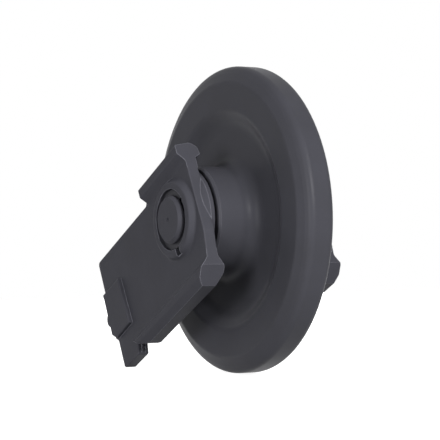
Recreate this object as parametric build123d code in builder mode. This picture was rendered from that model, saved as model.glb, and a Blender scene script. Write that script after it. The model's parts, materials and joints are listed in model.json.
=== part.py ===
from build123d import *
import os
from math import acos, atan2, cos, degrees, hypot, radians, sin

# Track front idler of a small crawler machine, with its two slide brackets.
# The origin is the wheel's centre, the axle lies along Y and +Z is up.
# Every piece of the near end is drawn on the -Y side and mirrored for the far end.
# Sections of turned pieces are drawn as (radius, distance from the mid plane).
# Sizes are millimetres.

# Rim and disc of the wheel
wheel_radius = 170.0
rim_width = 42.0
shoulder_drop = 7.6
shoulder_step = 4.1
bevel_drop = 9.9
bevel_step = 4.0
rim_face_width = 31.0
dish_wall_run = 16.5
dish_depth = 10.0
tread_edge_round = 8.0
shoulder_round = 9.0
bevel_round = 8.0
dish_lip_round = 10.0
dish_foot_round = 24.0

# Hub of the wheel
hub_radius = 58.5
hub_width = 116.4
hub_foot_round = 15.0
hub_edge_chamfer = 2.2
seal_cavity_radius = 44.0
seal_cavity_depth = 7.9
oil_chamber_width = 24.0
oil_chamber_wall = 3.0

# Shaft, bushes and running fits
shaft_radius = 26.5
shaft_chamfer = 3.1
running_gap = 0.05
seat_gap = 0.05
bush_wall = 5.0
bush_flange_rim = 4.5
bush_flange_thickness = 3.0
thrust_gap = 0.3
centre_hole_radius = 2.4
centre_hole_depth = 5.0
oil_way_radius = 4.0
oil_port_radius = 7.0
oil_port_depth = 16.0

# Face seals
hub_gap = 3.4
seal_face_gap = 0.05
seal_ring_height = 7.4
seal_ring_wall = 2.0
seal_band_height = 2.6
seal_ramp_rise = 1.4
seal_band_inset = 3.4
toric_radius = 3.2
rubber_gap = 0.12
nose_wall = 6.6
nose_ring_gap = 1.3
shaft_ring_radius = 1.75
shaft_ring_inset = 6.0
shaft_ring_side_gap = 0.5

# Bracket, across its thickness
inner_boss_height = 5.3
web_thickness = 13.2
outer_boss_height = 6.7
shaft_standout = 3.5
inner_boss_radius = 55.5
inner_boss_round = 1.5
inner_boss_back = 6.0
outer_boss_foot_radius = 45.2
outer_boss_slope = 4.0
counterbore_radius = 33.6
counterbore_depth = 5.6
boss_edge_round = 3.0
boss_foot_round = 3.5
cut_margin = 1.0
nose_round = 0.8

# Bracket, seen from the side: along the slide and square to it
head_reach = 50.0
head_bend_drop = 37.0
head_bend_round = 3.0
head_lean = 9.0
web_edge_round = 1.1
crease_drop = 75.5
rail_length = 99.5
tail_reach = 196.6
tail_top = 47.4
tail_corner_round = 5.0
web_neck_run = 6.3
web_neck_round = 4.0
heel_drop = 76.5
heel_gap = 4.9
heel_slope_run = 13.5
heel_slope_drop = 10.5
heel_flat_run = 15.0
heel_flat_round = 12.0
heel_slope_round = 12.0
tab_left_inset = 6.0
tab_step_drop = 57.0
tab_width = 39.2
tab_drop = 91.5
tab_corner_round = 3.5
groove_width = 1.8
groove_depth = 1.2
groove_start = 2.8
groove_pitch = 4.9
groove_end_gap = 2.5
notch_round = 2.0

# Top rail and bottom bulb of the bracket, in section
rail_crown = 68.5
rail_outer_reach = 8.5
rail_edge_drop = 3.6
rail_edge_round = 2.0
rail_lip_drop = 13.9
rail_lip_round = 1.2
rail_cove_drop = 22.0
rail_cove_round = 9.0
rail_crown_inset = 2.6
rail_crown_round = 6.0
rail_inner_reach = 6.8
rail_inner_drop = 5.2
rail_inner_lean = 1.4
rail_inner_round = 3.0
rail_inner_lip_drop = 14.0
rail_inner_foot_drop = 18.6
rail_inner_foot_round = 2.0
bracket_bottom = 92.6
bulb_reach = 7.9
bulb_side_bottom = 85.7
bulb_side_round = 4.0
bulb_ridge_round = 6.0
bulb_inner_reach = 7.2
bulb_inner_side_top = 77.3
bulb_inner_side_bottom = 82.3
bulb_inner_round = 3.0

bulb_inner_ridge = 65.5
bulb_root_rise = 8.0
bulb_root_sink = 0.5

# The outer side of the bulb changes from the head to the tail
bulb_head_ridge = 67.2
bulb_head_side_top = 76.5
bulb_head_foot = 3.7
bulb_tail_ridge = 73.5
bulb_tail_side_top = 80.0
bulb_tail_foot = 0.8

# Raised pad on the bracket's tail
pad_height = 5.0
pad_end_inset = 2.0
pad_top = 4.1
pad_right_inset = 46.5
pad_right_lean = 2.9
pad_bottom_drop = 53.4
pad_bottom_lean = 1.5
pad_corner_run = 8.0
pad_corner_drop = 47.4
pad_corner_round = 1.0
pad_edge_round = 1.6
pad_lump_radius = 8.5
pad_lump_centre = 28.6
pad_lump_bulge = 6.3

# Retaining ring and lock pin
ring_thickness = 3.0
ring_groove_depth = 2.0
ring_side_gap = 0.1
ring_outer_radius = 32.3
ring_split_angle = 33.0
ring_split_heading = 4.5
pin_radius = 4.0
pin_length = 14.5
pin_depth_in_shaft = 7.0
pin_gap = 0.2
pin_heading = -92.3
pin_slot_end = 42.2

# Oil plug in the far end of the shaft
plug_hex_width = 17.0
plug_head_height = 5.0
plug_thread_length = 11.0
washer_thickness = 1.5
washer_rim = 3.5
plug_head_chamfer = 0.8
plug_tip_chamfer = 1.0

# Planes across the axle, as distances from the wheel's mid plane
rim_half = rim_width / 2
shoulder_half = rim_half - bevel_step
tread_half = shoulder_half - shoulder_step
dish_half = rim_half - dish_depth
hub_half = hub_width / 2
seal_plane = hub_half + hub_gap / 2
inner_boss_plane = hub_half + hub_gap
web_inner_plane = inner_boss_plane + inner_boss_height
web_outer_plane = web_inner_plane + web_thickness
outer_boss_plane = web_outer_plane + outer_boss_height
shaft_end_plane = outer_boss_plane + shaft_standout
hub_cavity_floor = hub_half - seal_cavity_depth
bracket_cavity_floor = inner_boss_plane + seal_cavity_depth
flange_seat_floor = hub_cavity_floor - bush_flange_thickness
chamber_half = oil_chamber_width / 2
nose_plane = hub_cavity_floor + thrust_gap
counterbore_floor = outer_boss_plane - counterbore_depth

# Radii that follow from one another
shoulder_radius = wheel_radius - shoulder_drop
rim_face_radius = shoulder_radius - bevel_drop
dish_lip_radius = rim_face_radius - rim_face_width
dish_foot_radius = dish_lip_radius - dish_wall_run
bush_bore_radius = shaft_radius + running_gap
bush_outer_radius = bush_bore_radius + bush_wall
bush_flange_radius = bush_outer_radius + bush_flange_rim
chamber_radius = bush_outer_radius + oil_chamber_wall
bracket_bore_radius = shaft_radius + seat_gap
nose_radius = bracket_bore_radius + nose_wall
seal_bore_radius = nose_radius + nose_ring_gap
seal_neck_radius = seal_bore_radius + seal_ring_wall
seal_band_radius = seal_cavity_radius - seal_band_inset
ring_groove_radius = shaft_radius - ring_groove_depth

# The tail hangs until the tab's rounded corner and the tread stand on one floor
tab_corner_x = -tail_reach + tab_left_inset
corner_centre_x = tab_corner_x + tab_corner_round
corner_centre_z = -tab_drop + tab_corner_round
corner_distance = hypot(corner_centre_x, corner_centre_z)
corner_heading = degrees(atan2(-corner_centre_x, -corner_centre_z))
floor_ratio = min(1.0, (wheel_radius - tab_corner_round) / corner_distance)
slide_angle = corner_heading - degrees(acos(floor_ratio))
slide_x = Vector(cos(radians(slide_angle)), 0, sin(radians(slide_angle)))


def side_plane(distance):
    """A plane across the axle on the near side, with X along the slide."""
    return Plane(origin=(0, -distance, 0), x_dir=slide_x, z_dir=(0, -1, 0))


def section_plane(along):
    """A plane square to the slide, facing the tail, with X away from the wheel."""
    return Plane(origin=slide_x * along, x_dir=(0, -1, 0), z_dir=slide_x * -1)


def rounded_outline(corners):
    """Adds the face inside (x, y, corner radius) entries to the sketch."""
    points = [(x, y) for x, y, radius in corners]
    with BuildLine() as outline:
        FilletPolyline(*points, radius=[radius for x, y, radius in corners], close=True)
    make_face(outline.line.edges())


def turned_section(corners):
    """Adds the face inside (radius, distance, corner radius) entries, for the near end."""
    rounded_outline([(radius, -distance, corner) for radius, distance, corner in corners])


# Wheel: one casting, turned on the tread, the hub and the seal cavities
wheel_half_section = [
    (chamber_radius, 0, 0),
    (wheel_radius, 0, 0),
    (wheel_radius, tread_half, tread_edge_round),
    (shoulder_radius, shoulder_half, shoulder_round),
    (rim_face_radius, rim_half, bevel_round),
    (dish_lip_radius, rim_half, dish_lip_round),
    (dish_foot_radius, dish_half, dish_foot_round),
    (hub_radius, dish_half, hub_foot_round),
    (hub_radius, hub_half - hub_edge_chamfer, 0),
    (hub_radius - hub_edge_chamfer, hub_half, 0),
    (seal_cavity_radius, hub_half, 0),
    (seal_cavity_radius, hub_cavity_floor, 0),
    (bush_flange_radius + seat_gap, hub_cavity_floor, 0),
    (bush_flange_radius + seat_gap, flange_seat_floor, 0),
    (bush_outer_radius, flange_seat_floor, 0),
    (bush_outer_radius, chamber_half, 0),
    (chamber_radius, chamber_half, 0),
]
with BuildPart() as idler_wheel:
    with BuildSketch(Plane.XY):
        turned_section(wheel_half_section)
        mirror(about=Plane.XZ)
    revolve(axis=Axis.Y)

# Shaft: plain bar with a ring groove at each end and an oil way from the far end
shaft_seal_plane = nose_plane + shaft_ring_inset
seal_groove_half = shaft_ring_radius + shaft_ring_side_gap
seal_groove_radius = bracket_bore_radius - 2 * shaft_ring_radius
ring_inner_plane = counterbore_floor + ring_side_gap
ring_outer_plane = ring_inner_plane + ring_thickness
with BuildPart() as axle_shaft:
    with BuildSketch(Plane.XY):
        with BuildLine():
            Polyline(
                (0, 0),
                (shaft_radius, 0),
                (shaft_radius, shaft_end_plane - shaft_chamfer),
                (shaft_radius - shaft_chamfer, shaft_end_plane),
                (0, shaft_end_plane),
                close=True,
            )
        make_face()
        with Locations((shaft_radius, shaft_seal_plane)):
            Rectangle(2 * (shaft_radius - seal_groove_radius), 2 * seal_groove_half, mode=Mode.SUBTRACT)
        with Locations((shaft_radius, counterbore_floor + ring_thickness / 2 + ring_side_gap)):
            Rectangle(2 * ring_groove_depth, ring_thickness + 2 * ring_side_gap, mode=Mode.SUBTRACT)
        mirror(about=Plane.XZ)
    revolve(axis=Axis.Y)
    with BuildSketch(Plane.XY):
        with BuildLine():
            Polyline(
                (0, -shaft_end_plane),
                (centre_hole_radius, -shaft_end_plane),
                (0, -shaft_end_plane + centre_hole_depth),
                close=True,
            )
        make_face()
    revolve(axis=Axis.Y, mode=Mode.SUBTRACT)
    with BuildSketch(Plane.XZ.offset(-shaft_end_plane)):
        Circle(oil_port_radius)
    extrude(amount=oil_port_depth, mode=Mode.SUBTRACT)
    with BuildSketch(Plane.XZ.offset(-shaft_end_plane)):
        Circle(oil_way_radius)
    extrude(amount=shaft_end_plane + oil_way_radius, mode=Mode.SUBTRACT)
    with BuildSketch(Plane.XY):
        Circle(oil_way_radius)
    extrude(amount=shaft_radius + oil_way_radius, mode=Mode.SUBTRACT)

# Flanged bush, pressed into the hub, with its flange as the thrust face
with BuildPart() as bush:
    with BuildSketch(Plane.XY):
        turned_section([
            (bush_bore_radius, chamber_half, 0),
            (bush_outer_radius, chamber_half, 0),
            (bush_outer_radius, flange_seat_floor, 0),
            (bush_flange_radius, flange_seat_floor, 0),
            (bush_flange_radius, hub_cavity_floor, 0),
            (bush_bore_radius, hub_cavity_floor, 0),
        ])
    revolve(axis=Axis.Y)

# Face seal: the wheel's ring and the bracket's ring run on each other
ring_face = seal_plane - seal_face_gap / 2
band_back = ring_face - seal_band_height
neck_end = ring_face - seal_ring_height
with BuildPart() as rotating_seal_ring:
    with BuildSketch(Plane.XY):
        turned_section([
            (seal_bore_radius, neck_end, 0),
            (seal_neck_radius, neck_end, 0),
            (seal_neck_radius, band_back - seal_ramp_rise, 0),
            (seal_band_radius, band_back, 0),
            (seal_band_radius, ring_face, 0),
            (seal_bore_radius, ring_face, 0),
        ])
    revolve(axis=Axis.Y)
with BuildPart() as fixed_seal_ring:
    mirror(rotating_seal_ring.part, about=Plane.XZ.offset(seal_plane))

# Toric rings: rubber between each seal ring's ramp and its cavity wall
toric_centre_radius = seal_cavity_radius - rubber_gap - toric_radius
ramp_run = seal_band_radius - seal_neck_radius
ramp_angle = atan2(seal_ramp_rise, ramp_run)
ramp_lead = (seal_band_radius - toric_centre_radius) * seal_ramp_rise / ramp_run
toric_plane = band_back - ramp_lead - (toric_radius + rubber_gap) / cos(ramp_angle)
with BuildPart() as rotating_toric:
    with BuildSketch(Plane.XY):
        with Locations((toric_centre_radius, -toric_plane)):
            Circle(toric_radius)
    revolve(axis=Axis.Y)
with BuildPart() as fixed_toric:
    mirror(rotating_toric.part, about=Plane.XZ.offset(seal_plane))

# Small rubber ring in the shaft's groove, inside the bracket's nose
with BuildPart() as shaft_oring:
    with BuildSketch(Plane.XY):
        with Locations((seal_groove_radius + shaft_ring_radius, -shaft_seal_plane)):
            Circle(shaft_ring_radius - rubber_gap)
    revolve(axis=Axis.Y)

# Retaining ring, sprung into the shaft's end groove over the lock pin
with BuildPart() as retaining_ring:
    with BuildSketch(Plane.XY):
        turned_section([
            (ring_groove_radius + seat_gap, ring_inner_plane, 0),
            (ring_outer_radius, ring_inner_plane, 0),
            (ring_outer_radius, ring_outer_plane, 0),
            (ring_groove_radius + seat_gap, ring_outer_plane, 0),
        ])
    revolve(axis=Axis.Y, revolution_arc=360 - ring_split_angle)
ring_turn = ring_split_heading + ring_split_angle / 2
retaining_ring.part = retaining_ring.part.rotate(Axis.Y, -ring_turn)

# Lock pin: lies in a slot of the boss and reaches into a side hole of the shaft
pin_plane = counterbore_floor - pin_radius
pin_end_radius = shaft_radius - pin_depth_in_shaft
pin_turn = radians(slide_angle + pin_heading)
pin_line = Vector(cos(pin_turn), 0, sin(pin_turn))
slot_half = pin_radius + pin_gap


def pin_section_plane(distance):
    """A plane square to the pin's axis, with X away from the wheel."""
    return Plane(origin=pin_line * distance, x_dir=(0, -1, 0), z_dir=pin_line)


with BuildPart() as lock_pin:
    with BuildSketch(pin_section_plane(pin_end_radius)):
        with Locations((pin_plane, 0)):
            Circle(pin_radius)
    extrude(amount=pin_length)

# Bracket: plate with a top rail, a bottom bulb, a raised pad and a foot tab
rail_end = head_reach - rail_length
crease_x = head_reach - head_lean
facet_run = bracket_bottom - crease_drop
tab_right_x = tab_corner_x + tab_width
heel_x = tab_right_x + heel_gap
slope_x = heel_x + heel_slope_run
slope_z = -heel_drop - heel_slope_drop
side_outline = [
    (head_reach, rail_crown - rail_edge_drop, 0),
    (head_reach, -head_bend_drop, head_bend_round),
    (crease_x, -crease_drop, 0),
    (crease_x - facet_run, -bracket_bottom, 0),
    (slope_x + heel_flat_run, -bracket_bottom, heel_flat_round),
    (slope_x, slope_z, heel_slope_round),
    (heel_x, -heel_drop, notch_round),
    (tab_right_x, -tab_drop, notch_round),
    (tab_corner_x, -tab_drop, tab_corner_round),
    (tab_corner_x, -tab_step_drop, notch_round),
    (-tail_reach, -tab_step_drop + tab_left_inset, tab_corner_round),
    (-tail_reach, tail_top, tail_corner_round),
    (rail_end - web_neck_run, tail_top, web_neck_round),
    (rail_end, rail_crown - rail_lip_drop, 0),
    (rail_end, rail_crown - rail_edge_drop, 0),
]
rail_face = web_outer_plane + rail_outer_reach
rail_back = web_inner_plane - rail_inner_reach
rail_root = rail_crown - rail_cove_drop - rail_cove_round
rail_section = [
    (web_inner_plane, rail_root, 0),
    (web_inner_plane, rail_crown - rail_inner_foot_drop, rail_inner_foot_round),
    (rail_back, rail_crown - rail_inner_lip_drop, rail_lip_round),
    (rail_back + rail_inner_lean, rail_crown - rail_inner_drop, rail_inner_round),
    (web_inner_plane + rail_crown_inset, rail_crown, rail_crown_round),
    (rail_face, rail_crown - rail_edge_drop, rail_edge_round),
    (rail_face, rail_crown - rail_lip_drop, rail_lip_round),
    (web_outer_plane, rail_crown - rail_cove_drop, rail_cove_round),
    (web_outer_plane, rail_root, 0),
]
with BuildPart() as web:
    with BuildSketch(side_plane(web_inner_plane)):
        rounded_outline(side_outline)
    extrude(amount=web_thickness)
    fillet(web.edges().filter_by(Axis.Y, reverse=True), web_edge_round)

bulb_back = web_inner_plane - bulb_inner_reach
bulb_face = web_outer_plane + bulb_reach
cut_ratio = cut_margin / (bracket_bottom - bulb_side_bottom)
inner_cut_ratio = cut_margin / (bracket_bottom - bulb_inner_side_bottom)
cut_plane = -bracket_bottom - cut_margin


def bulb_section(ridge, side_top, foot):
    """Adds the bulb's section to the sketch; the side outline cuts off its lower end."""
    rounded_outline([
        (web_outer_plane - bulb_root_sink, bulb_root_rise - ridge, 0),
        (web_outer_plane, -ridge, bulb_ridge_round),
        (bulb_face, -side_top, bulb_side_round),
        (bulb_face, -bulb_side_bottom, bulb_side_round),
        (web_outer_plane + foot - (bulb_reach - foot) * cut_ratio, cut_plane, 0),
        (web_inner_plane + bulb_inner_reach * inner_cut_ratio, cut_plane, 0),
        (bulb_back, -bulb_inner_side_bottom, bulb_inner_round),
        (bulb_back, -bulb_inner_side_top, bulb_inner_round),
        (web_inner_plane, -bulb_inner_ridge, bulb_inner_round),
        (web_inner_plane + bulb_root_sink, bulb_root_rise - bulb_inner_ridge, 0),
    ])


with BuildPart() as bulb:
    with BuildSketch(section_plane(head_reach)):
        bulb_section(bulb_head_ridge, bulb_head_side_top, bulb_head_foot)
    with BuildSketch(section_plane(heel_x)):
        bulb_section(bulb_tail_ridge, bulb_tail_side_top, bulb_tail_foot)
    loft()
    with BuildSketch(side_plane(bulb_back)):
        rounded_outline(side_outline)
    extrude(amount=bulb_face - bulb_back, mode=Mode.INTERSECT)

pad_left = -tail_reach + pad_end_inset
pad_right = -tail_reach + pad_right_inset
pad_bottom_z = -pad_bottom_drop - pad_bottom_lean
groove_line = Vector(tab_right_x - heel_x, heel_drop - tab_drop)
groove_length = groove_line.length - groove_end_gap
groove_centre = Vector(heel_x, -heel_drop) + groove_line.normalized() * groove_length / 2
groove_turn = degrees(atan2(groove_line.Y, groove_line.X))
first_groove_plane = web_outer_plane - groove_start
with BuildPart() as bracket:
    add(web.part)
    with BuildSketch(side_plane(web_outer_plane)):
        rounded_outline([
            (pad_left, pad_top, 0),
            (pad_right, pad_top, 0),
            (pad_right + pad_right_lean, -pad_bottom_drop, pad_corner_round),
            (pad_left + pad_corner_run, pad_bottom_z, pad_corner_round),
            (pad_left, -pad_corner_drop, pad_corner_round),
        ])
    extrude(amount=pad_height)
    pad_face = bracket.faces().filter_by(Plane.XZ).sort_by(Axis.Y)[0]
    fillet(pad_face.edges(), pad_edge_round)
    with BuildSketch(section_plane(head_reach)):
        rounded_outline(rail_section)
    extrude(amount=rail_length)
    add(bulb.part)
    with BuildSketch(side_plane(web_outer_plane)):
        with Locations((pad_left + pad_lump_radius - pad_lump_bulge, -pad_lump_centre)):
            Circle(pad_lump_radius)
    extrude(amount=pad_height - pad_edge_round)
    with BuildSketch(Plane.XY):
        turned_section([
            (0, inner_boss_plane, 0),
            (inner_boss_radius, inner_boss_plane, inner_boss_round),
            (inner_boss_radius, web_inner_plane, 0),
            (inner_boss_radius - inner_boss_back, web_inner_plane + inner_boss_back, 0),
            (outer_boss_foot_radius + boss_foot_round, web_outer_plane, 0),
            (outer_boss_foot_radius, web_outer_plane, boss_foot_round),
            (outer_boss_foot_radius - outer_boss_slope, outer_boss_plane, boss_edge_round),
            (0, outer_boss_plane, 0),
        ])
    revolve(axis=Axis.Y)
    with BuildSketch(Plane.XY):
        turned_section([
            (0, nose_plane - cut_margin, 0),
            (seal_cavity_radius, nose_plane - cut_margin, 0),
            (seal_cavity_radius, bracket_cavity_floor, 0),
            (nose_radius, bracket_cavity_floor, 0),
            (nose_radius, inner_boss_plane - cut_margin, 0),
            (bracket_bore_radius, inner_boss_plane - cut_margin, 0),
            (bracket_bore_radius, counterbore_floor, 0),
            (counterbore_radius, counterbore_floor, 0),
            (counterbore_radius, outer_boss_plane + cut_margin, 0),
            (0, outer_boss_plane + cut_margin, 0),
        ])
    revolve(axis=Axis.Y, mode=Mode.SUBTRACT)
    with BuildSketch(Plane.XY):
        turned_section([
            (bracket_bore_radius, nose_plane, 0),
            (nose_radius, nose_plane, nose_round),
            (nose_radius, bracket_cavity_floor, 0),
            (bracket_bore_radius, bracket_cavity_floor, 0),
        ])
    revolve(axis=Axis.Y)
    with BuildSketch(pin_section_plane(0)):
        with Locations((pin_plane, 0)):
            Circle(slot_half)
        with Locations((pin_plane, 0)):
            Rectangle(outer_boss_plane, 2 * slot_half, align=(Align.MIN, Align.CENTER))
    extrude(amount=pin_slot_end, mode=Mode.SUBTRACT)
    for groove_plane in (first_groove_plane, first_groove_plane - groove_pitch):
        with BuildSketch(side_plane(groove_plane)):
            with Locations((groove_centre.X, groove_centre.Y)):
                Rectangle(groove_length, 2 * groove_depth, rotation=groove_turn)
        extrude(amount=-groove_width, mode=Mode.SUBTRACT)

# The shaft's side holes take the lock pins
with BuildPart() as pin_hole:
    with BuildSketch(pin_section_plane(pin_end_radius - pin_gap)):
        with Locations((pin_plane, 0)):
            Circle(slot_half)
    extrude(amount=shaft_radius)
with axle_shaft:
    add(pin_hole.part, mode=Mode.SUBTRACT)
    mirror(pin_hole.part, about=Plane.XZ, mode=Mode.SUBTRACT)

# Oil plug and its washer, in the far end of the shaft
with BuildPart() as plug_washer:
    with BuildSketch(Plane.XZ.offset(-shaft_end_plane)):
        Circle(oil_port_radius + washer_rim)
        Circle(oil_port_radius, mode=Mode.SUBTRACT)
    extrude(amount=-washer_thickness)
with BuildPart() as oil_plug:
    with BuildSketch(Plane.XZ.offset(-shaft_end_plane - washer_thickness)):
        RegularPolygon(plug_hex_width / 2, 6, major_radius=False)
    extrude(amount=-plug_head_height)
    chamfer(oil_plug.edges().group_by(Axis.Y)[-1], plug_head_chamfer)
    with BuildSketch(Plane.XZ.offset(-shaft_end_plane - washer_thickness)):
        Circle(oil_port_radius - seat_gap)
    extrude(amount=washer_thickness + plug_thread_length)
    chamfer(oil_plug.edges().group_by(Axis.Y)[0], plug_tip_chamfer)

# Both ends carry the same pieces; the far end is the near end mirrored
near_pieces = {
    "bracket": bracket,
    "bush": bush,
    "rotating_seal_ring": rotating_seal_ring,
    "fixed_seal_ring": fixed_seal_ring,
    "rotating_toric": rotating_toric,
    "fixed_toric": fixed_toric,
    "shaft_oring": shaft_oring,
    "retaining_ring": retaining_ring,
    "lock_pin": lock_pin,
}
single_pieces = {
    "idler_wheel": idler_wheel,
    "axle_shaft": axle_shaft,
    "oil_plug": oil_plug,
    "plug_washer": plug_washer,
}
os.makedirs("parts", exist_ok=True)
for name, piece in single_pieces.items():
    piece.part.label = name
    export_step(piece.part, f"parts/{name}.step")
for name, piece in near_pieces.items():
    with BuildPart() as far_piece:
        mirror(piece.part, about=Plane.XZ)
    piece.part.label = f"near_{name}"
    far_piece.part.label = f"far_{name}"
    export_step(piece.part, f"parts/near_{name}.step")
    export_step(far_piece.part, f"parts/far_{name}.step")
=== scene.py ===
import json
import math
import bmesh
import bpy
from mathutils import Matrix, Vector


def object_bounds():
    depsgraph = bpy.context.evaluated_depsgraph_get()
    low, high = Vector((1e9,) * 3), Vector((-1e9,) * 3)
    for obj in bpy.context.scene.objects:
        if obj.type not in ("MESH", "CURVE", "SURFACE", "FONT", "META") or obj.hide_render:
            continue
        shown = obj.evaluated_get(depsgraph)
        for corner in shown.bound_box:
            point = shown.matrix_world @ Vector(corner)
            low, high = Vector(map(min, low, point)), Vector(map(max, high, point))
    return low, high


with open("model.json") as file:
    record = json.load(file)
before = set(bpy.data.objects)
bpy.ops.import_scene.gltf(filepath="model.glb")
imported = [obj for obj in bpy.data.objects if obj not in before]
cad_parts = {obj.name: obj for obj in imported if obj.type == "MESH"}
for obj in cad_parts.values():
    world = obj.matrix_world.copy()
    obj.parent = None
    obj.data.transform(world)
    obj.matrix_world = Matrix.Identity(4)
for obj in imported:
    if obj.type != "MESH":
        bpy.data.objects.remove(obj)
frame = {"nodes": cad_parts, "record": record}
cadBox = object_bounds()
nodes = frame["nodes"]
print("frame loaded with", len(nodes), "nodes")

scene = bpy.context.scene
scene.view_settings.view_transform = "Standard"

mmPerMetre = 1000.0
mixFactor, mixFirst, mixSecond, mixResult = 0, 6, 7, 2  # a Mix node's sockets for colours


def toLinear(hexText):  # sRGB hex to a linear colour
    parts = [int(hexText[i:i + 2], 16) / 255 for i in (1, 3, 5)]
    linear = [c / 12.92 if c <= 0.04045 else ((c + 0.055) / 1.055) ** 2.4 for c in parts]
    return (*linear, 1.0)


def addNode(tree, kind, values=None, links=None, **settings):
    node = tree.nodes.new(kind)
    for name, value in settings.items():
        setattr(node, name, value)
    for socket, value in (values or {}).items():
        node.inputs[socket].default_value = value
    for socket, source in (links or {}).items():
        tree.links.new(source, node.inputs[socket])
    return node


def emptyMaterial(name):
    material = bpy.data.materials.new(name)
    material.use_nodes = True
    material.node_tree.nodes.clear()
    return material, material.node_tree


def perMetre(millimetres):  # noise scale whose features are this large
    return mmPerMetre / millimetres


# Metal under a satin coat: soft wide highlights, faint clouds in the tone and
# the fine pebble of the casting or forging showing through the film. On the
# rounded edges a paler colour is painted in as a highlight, in pale lines.
wheelCoat = {
    # the edge colour and its share are a highlight painted on the rounded edges
    "dark": "#343438", "light": "#3b3b41", "edge": "#5a5a62", "edgeMm": 1.2, "edgeHighlightShare": 0.5,
    "cloudMm": 45.0, "roughLow": 0.35, "roughHigh": 0.41, "specular": 0.05,
    "grainMm": 1.1, "grainStrength": 0.2, "waveMm": 16.0, "waveStrength": 0.12,
}
bracketCoat = {
    "dark": "#37373c", "light": "#3e3e44", "edge": "#82828b", "edgeMm": 1.3, "edgeHighlightShare": 0.6,
    "cloudMm": 30.0, "roughLow": 0.42, "roughHigh": 0.52, "specular": 0.03,
    "grainMm": 1.3, "grainStrength": 0.6, "waveMm": 12.0, "waveStrength": 0.35,
}
shaftCoat = {
    "dark": "#37373c", "light": "#3d3d43", "edge": "#55555c", "edgeMm": 0.5, "edgeHighlightShare": 0.3,
    "cloudMm": 18.0, "roughLow": 0.4, "roughHigh": 0.48, "specular": 0.03,
    "grainMm": 0.8, "grainStrength": 0.15, "waveMm": 9.0, "waveStrength": 0.05,
}
coatRelief = {"waveDepth": 1 / 30, "grainDepth": 1 / 6}  # depth of a bump over its length
paintedHighlightTurn = {"starts": 0.995, "full": 0.86}  # cosine of the turn at which the painted edge highlight starts and is full


def coatedSteel(name, look):
    material, tree = emptyMaterial(name)
    coords = addNode(tree, "ShaderNodeTexCoord")
    place = addNode(tree, "ShaderNodeMapping", links={"Vector": coords.outputs["Object"]})
    spot = {"Vector": place.outputs["Vector"]}
    cloud = addNode(
        tree, "ShaderNodeTexNoise", {"Scale": perMetre(look["cloudMm"]), "Detail": 3.0}, spot)
    grain = addNode(
        tree, "ShaderNodeTexNoise", {"Scale": perMetre(look["grainMm"]), "Detail": 4.0}, spot)
    wave = addNode(
        tree, "ShaderNodeTexNoise", {"Scale": perMetre(look["waveMm"]), "Detail": 1.0}, spot)
    edge = addNode(
        tree, "ShaderNodeBevel", {"Radius": look["edgeMm"] / mmPerMetre}, samples=6)
    surface = addNode(tree, "ShaderNodeNewGeometry")
    # Painted highlight: a mask of where the rounded normal turns away from the face, on the rounded
    # edges
    turn = addNode(
        tree, "ShaderNodeVectorMath",
        links={0: edge.outputs["Normal"], 1: surface.outputs["Normal"]},
        operation="DOT_PRODUCT")
    paintedEdgeHighlight = addNode(
        tree, "ShaderNodeMapRange",
        {"From Min": paintedHighlightTurn["starts"], "From Max": paintedHighlightTurn["full"], "To Max": look["edgeHighlightShare"]},
        {"Value": turn.outputs["Value"]})
    film = addNode(
        tree, "ShaderNodeMix",
        {mixFirst: toLinear(look["dark"]), mixSecond: toLinear(look["light"])},
        {mixFactor: cloud.outputs["Fac"]}, data_type="RGBA")
    # the paler edge colour is painted in over that mask as a highlight
    tone = addNode(
        tree, "ShaderNodeMix", {mixSecond: toLinear(look["edge"])},
        {mixFactor: paintedEdgeHighlight.outputs["Result"], mixFirst: film.outputs[mixResult]}, data_type="RGBA")
    gloss = addNode(
        tree, "ShaderNodeMapRange", {"To Min": look["roughLow"], "To Max": look["roughHigh"]},
        {"Value": cloud.outputs["Fac"]})
    coarse = addNode(
        tree, "ShaderNodeBump",
        {"Strength": look["waveStrength"],
         "Distance": look["waveMm"] * coatRelief["waveDepth"] / mmPerMetre},
        {"Height": wave.outputs["Fac"], "Normal": edge.outputs["Normal"]})
    fine = addNode(
        tree, "ShaderNodeBump",
        {"Strength": look["grainStrength"],
         "Distance": look["grainMm"] * coatRelief["grainDepth"] / mmPerMetre},
        {"Height": grain.outputs["Fac"], "Normal": coarse.outputs["Normal"]})
    shader = addNode(
        tree, "ShaderNodeBsdfPrincipled", {"IOR": 1.5, "Specular IOR Level": look["specular"]},
        {"Base Color": tone.outputs[mixResult], "Roughness": gloss.outputs["Result"],
         "Normal": fine.outputs["Normal"]})
    addNode(tree, "ShaderNodeOutputMaterial", links={"Surface": shader.outputs["BSDF"]})
    return material


# Bare turned or drawn metal: sharper, brighter highlights and lathe lines that
# run round the axle. Real ones are some 0.1 mm apart, so they are drawn
# coarser to show at all.
bushBronze = {
    "dark": "#8a6a3c", "light": "#a98450", "stainMm": 6.0, "roughLow": 0.25, "roughHigh": 0.4,
    "lineMm": 2.37, "lineStrength": 0.15,
}
sealIron = {
    "dark": "#4a4a4c", "light": "#5e5e60", "stainMm": 5.0, "roughLow": 0.3, "roughHigh": 0.45,
    "lineMm": 1.97, "lineStrength": 0.1,
}
springSteel = {
    "dark": "#26262a", "light": "#323237", "stainMm": 4.0, "roughLow": 0.45, "roughHigh": 0.6,
    "lineMm": 1.97, "lineStrength": 0.1,
}
zincPlate = {
    "dark": "#8d8f92", "light": "#a9abad", "stainMm": 4.0, "roughLow": 0.3, "roughHigh": 0.42,
    "lineMm": 1.97, "lineStrength": 0.1,
}
softCopper = {
    "dark": "#9a5f45", "light": "#b87a5c", "stainMm": 3.0, "roughLow": 0.3, "roughHigh": 0.45,
    "lineMm": 1.58, "lineStrength": 0.1,
}
lathe = {"lineDepth": 1 / 16, "wobble": 0.3}  # depth of a line over its spacing
bandScale = 2 * math.pi / 20  # a Wave node's bands repeat every 2 pi / 20 of its space


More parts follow.
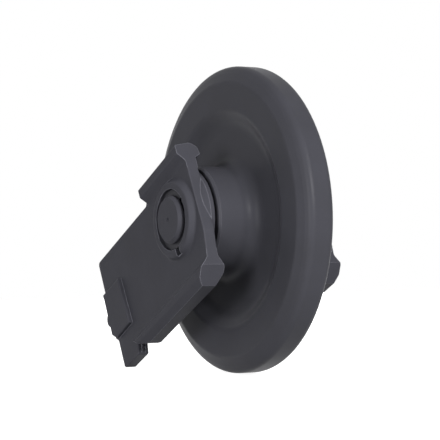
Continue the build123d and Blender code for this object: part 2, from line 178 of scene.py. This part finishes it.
def turnedMetal(name, look):
    material, tree = emptyMaterial(name)
    coords = addNode(tree, "ShaderNodeTexCoord")
    place = addNode(tree, "ShaderNodeMapping", links={"Vector": coords.outputs["Object"]})
    spot = {"Vector": place.outputs["Vector"]}
    stain = addNode(
        tree, "ShaderNodeTexNoise", {"Scale": perMetre(look["stainMm"]), "Detail": 4.0}, spot)
    tone = addNode(
        tree, "ShaderNodeMix",
        {mixFirst: toLinear(look["dark"]), mixSecond: toLinear(look["light"])},
        {mixFactor: stain.outputs["Fac"]}, data_type="RGBA")
    gloss = addNode(
        tree, "ShaderNodeMapRange", {"To Min": look["roughLow"], "To Max": look["roughHigh"]},
        {"Value": stain.outputs["Fac"]})
    lines = addNode(
        tree, "ShaderNodeTexWave",
        {"Scale": perMetre(look["lineMm"]) * bandScale, "Distortion": lathe["wobble"]},
        spot, wave_type="BANDS", bands_direction="Y")
    bump = addNode(
        tree, "ShaderNodeBump",
        {"Strength": look["lineStrength"],
         "Distance": look["lineMm"] * lathe["lineDepth"] / mmPerMetre},
        {"Height": lines.outputs["Fac"]})
    shader = addNode(
        tree, "ShaderNodeBsdfPrincipled", {"Metallic": 1.0},
        {"Base Color": tone.outputs[mixResult], "Roughness": gloss.outputs["Result"],
         "Normal": bump.outputs["Normal"]})
    addNode(tree, "ShaderNodeOutputMaterial", links={"Surface": shader.outputs["BSDF"]})
    return material


# Nitrile rubber: near black, matt, with a faint bloom
sealRubber = {
    "dark": "#121213", "light": "#1b1b1c", "bloomMm": 3.0, "rough": 0.7,
    "bloomStrength": 0.2, "bloomDepthMm": 0.1,
}


def nitrileRubber(name, look):
    material, tree = emptyMaterial(name)
    coords = addNode(tree, "ShaderNodeTexCoord")
    bloom = addNode(
        tree, "ShaderNodeTexNoise", {"Scale": perMetre(look["bloomMm"]), "Detail": 4.0},
        {"Vector": coords.outputs["Object"]})
    tone = addNode(
        tree, "ShaderNodeMix",
        {mixFirst: toLinear(look["dark"]), mixSecond: toLinear(look["light"])},
        {mixFactor: bloom.outputs["Fac"]}, data_type="RGBA")
    bump = addNode(
        tree, "ShaderNodeBump",
        {"Strength": look["bloomStrength"], "Distance": look["bloomDepthMm"] / mmPerMetre},
        {"Height": bloom.outputs["Fac"]})
    shader = addNode(
        tree, "ShaderNodeBsdfPrincipled", {"Roughness": look["rough"], "IOR": 1.52},
        {"Base Color": tone.outputs[mixResult], "Normal": bump.outputs["Normal"]})
    addNode(tree, "ShaderNodeOutputMaterial", links={"Surface": shader.outputs["BSDF"]})
    return material


finishes = {
    "wheel_coating": coatedSteel("satinCoatCastSteel", wheelCoat),
    "bracket_coating": coatedSteel("satinCoatForgedSteel", bracketCoat),
    "shaft_coating": coatedSteel("satinCoatTurnedSteel", shaftCoat),
    "bronze": turnedMetal("turnedBronze", bushBronze),
    "seal_iron": turnedMetal("lappedSealIron", sealIron),
    "spring_steel": turnedMetal("blackenedSpringSteel", springSteel),
    "plug_steel": turnedMetal("zincPlatedSteel", zincPlate),
    "copper": turnedMetal("softCopper", softCopper),
    "seal_rubber": nitrileRubber("nitrileRubber", sealRubber),
}
slotOfNode = {row["node"]: row["material_slot"] for row in frame["record"]["subparts"]}
for nodeName, node in nodes.items():
    node.data.materials.clear()
    node.data.materials.append(finishes[slotOfNode[nodeName]])
print("finishes set on", len(slotOfNode), "nodes")


def backgroundRay(tree):  # 1 where the background is seen, mirrored or seen through
    ray = addNode(tree, "ShaderNodeLightPath")
    seen = addNode(
        tree, "ShaderNodeMath",
        links={0: ray.outputs["Is Camera Ray"], 1: ray.outputs["Is Glossy Ray"]},
        operation="MAXIMUM")
    through = addNode(
        tree, "ShaderNodeMath",
        links={0: seen.outputs["Value"], 1: ray.outputs["Is Transmission Ray"]},
        operation="MAXIMUM")
    return through.outputs["Value"]


# Floor: white, and it keeps the object's shadow
floorLook = {"size": 3.4, "colour": "#b8b8b8", "glow": 0.88}


def makeFloor(look):
    bm = bmesh.new()
    bmesh.ops.create_grid(bm, x_segments=1, y_segments=1, size=look["size"] / 2)
    bmesh.ops.translate(bm, verts=bm.verts, vec=(0, 0, cadBox[0].z))
    mesh = bpy.data.meshes.new("floor")
    bm.to_mesh(mesh)
    bm.free()
    floor = bpy.data.objects.new("floor", mesh)
    scene.collection.objects.link(floor)
    material, tree = emptyMaterial("whitePaperFloor")
    glowLevel = addNode(
        tree, "ShaderNodeMath", {1: look["glow"]}, {0: backgroundRay(tree)}, operation="MULTIPLY")
    paper = addNode(tree, "ShaderNodeBsdfDiffuse", {"Color": toLinear(look["colour"])})
    glow = addNode(tree, "ShaderNodeEmission", links={"Strength": glowLevel.outputs["Value"]})
    both = addNode(
        tree, "ShaderNodeAddShader", links={0: paper.outputs["BSDF"], 1: glow.outputs["Emission"]})
    addNode(tree, "ShaderNodeOutputMaterial", links={"Surface": both.outputs["Shader"]})
    mesh.materials.append(material)


makeFloor(floorLook)

# World: even studio light, and plain white wherever it is seen or mirrored
worldLook = {"colour": "#ffffff", "ambient": 0.02, "white": 1.0}


def makeWorld(look):
    world = bpy.data.worlds.new("studio")
    scene.world = world
    world.use_nodes = True
    tree = world.node_tree
    tree.nodes.clear()
    colour = toLinear(look["colour"])
    ambient = addNode(
        tree, "ShaderNodeBackground", {"Color": colour, "Strength": look["ambient"]})
    white = addNode(tree, "ShaderNodeBackground", {"Color": colour, "Strength": look["white"]})
    mix = addNode(
        tree, "ShaderNodeMixShader",
        links={0: backgroundRay(tree), 1: ambient.outputs["Background"],
               2: white.outputs["Background"]})
    addNode(tree, "ShaderNodeOutputWorld", links={"Surface": mix.outputs["Shader"]})


makeWorld(worldLook)
print("floor and world made")

# Soft boxes: the main one to the right, a weaker one in front, and two behind
# and to the left for the sides that the camera doesn't see. Those two only
# fill, with no glare of their own on the coat.
lamps = {
    "rightBox": {"place": (2.18, -0.1, 0.9), "size": 0.6, "watts": 77.0, "glare": True},
    "frontBox": {"place": (1.0, -2.15, 0.334), "size": 1.0, "watts": 40.0, "glare": True},
    "backBox": {"place": (-1.5, 1.9, 0.5), "size": 1.4, "watts": 95.0, "glare": False},
    "leftBox": {"place": (-2.3, 0.5, 0.35), "size": 0.8, "watts": 45.0, "glare": False},
}


def makeLamp(name, look):
    data = bpy.data.lights.new(name, "AREA")
    data.shape = "SQUARE"
    data.size = look["size"]
    data.energy = look["watts"]
    lamp = bpy.data.objects.new(name, data)
    lamp.location = look["place"]
    lamp.rotation_mode = "QUATERNION"
    lamp.rotation_quaternion = (-Vector(look["place"])).to_track_quat("-Z", "Y")
    lamp.visible_glossy = look["glare"]
    scene.collection.objects.link(lamp)


for lampName, lampLook in lamps.items():
    makeLamp(lampName, lampLook)

# Camera: level with the axle, at the photograph's angle and distance
cameraLook = {
    "place": (1.63375, -0.95687, -0.00023), "tilt": 90.0, "heading": 60.29,
    "sensorMm": 36.0, "lensMm": 139.09,
}


def makeCamera(look):
    data = bpy.data.cameras.new("camera")
    data.sensor_width = look["sensorMm"]
    data.lens = look["lensMm"]
    camera = bpy.data.objects.new("camera", data)
    camera.location = look["place"]
    camera.rotation_euler = (math.radians(look["tilt"]), 0, math.radians(look["heading"]))
    scene.collection.objects.link(camera)
    scene.camera = camera


makeCamera(cameraLook)
print("lamps and camera made")
